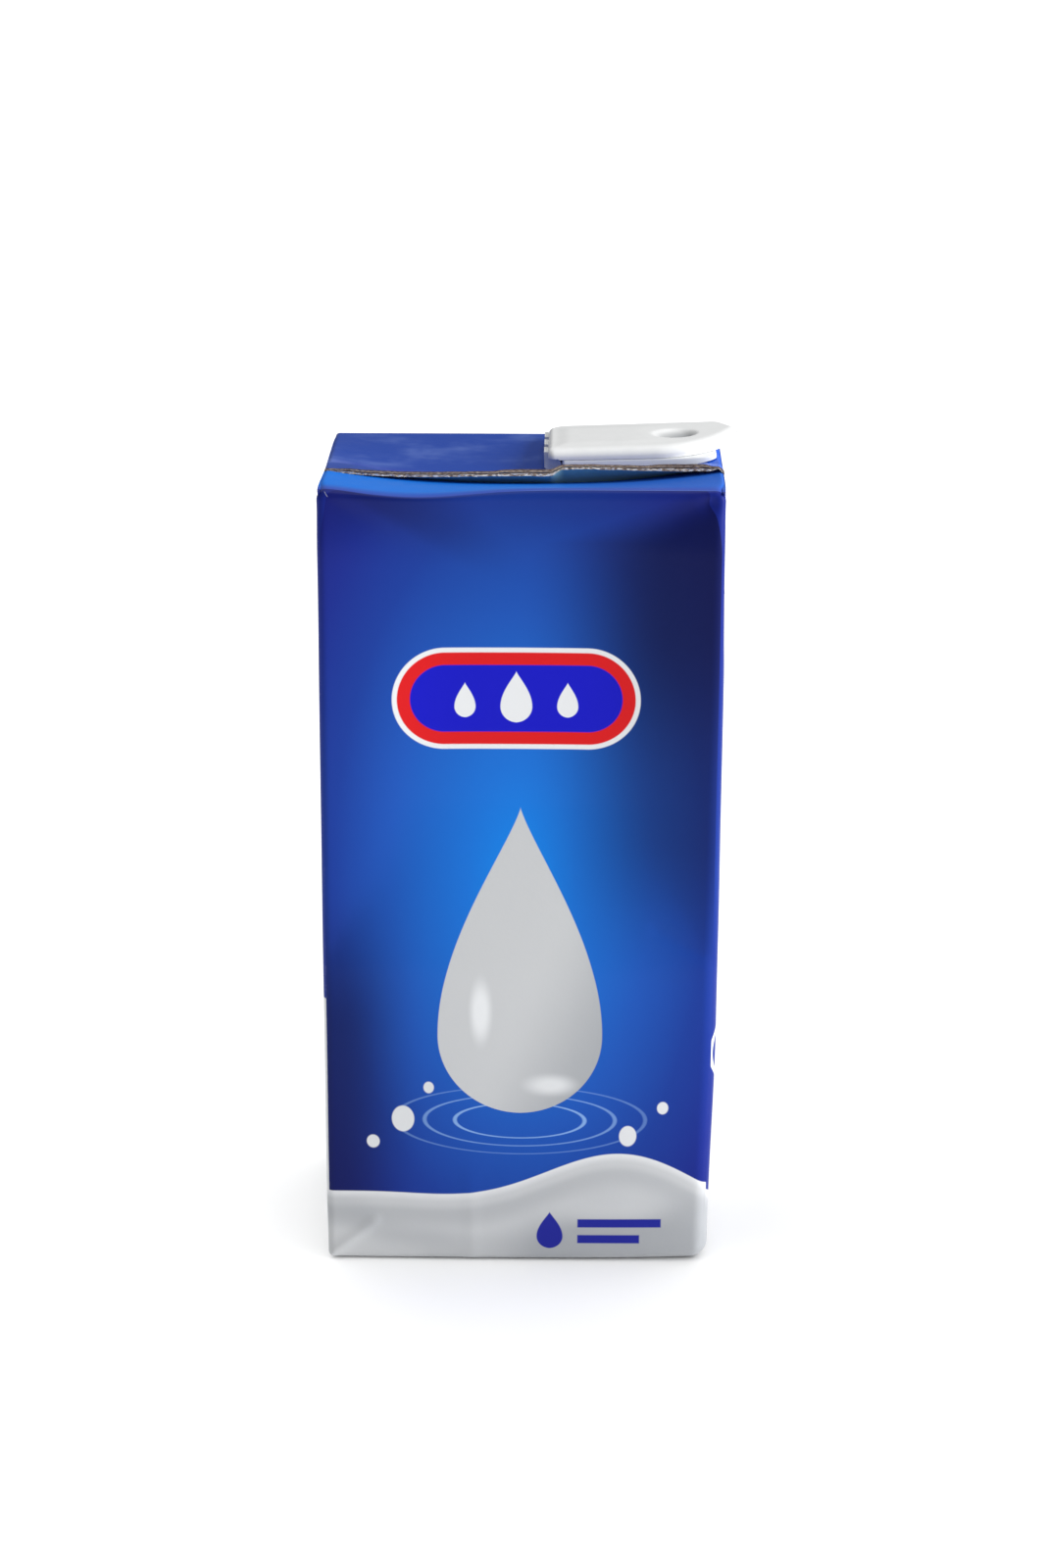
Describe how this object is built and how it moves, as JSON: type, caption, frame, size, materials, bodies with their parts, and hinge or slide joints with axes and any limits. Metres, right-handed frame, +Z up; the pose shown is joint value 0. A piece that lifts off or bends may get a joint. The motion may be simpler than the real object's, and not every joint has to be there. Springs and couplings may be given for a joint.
{
  "type": "milk carton",
  "caption": "Shut brick-shaped drink carton of printed laminated board with a folded top fin, side ears and a white flip closure on top.",
  "frame": {"origin": "centre of the outline on the surface the carton stands on", "axes": "+Z up through the top, -Y out of the printed front, +X to the right seen from the front"},
  "size_m": [0.0956, 0.065, 0.1893],
  "materials": {
    "printed_board": "gloss film over printed board",
    "cap_base_plastic": "satin moulded",
    "cap_lid_plastic": "satin moulded"
  },
  "bodies": {
    "root": {"carton": "printed_board", "cap_base": "cap_base_plastic", "cap_lid": "cap_lid_plastic"}
  },
  "joints": []
}
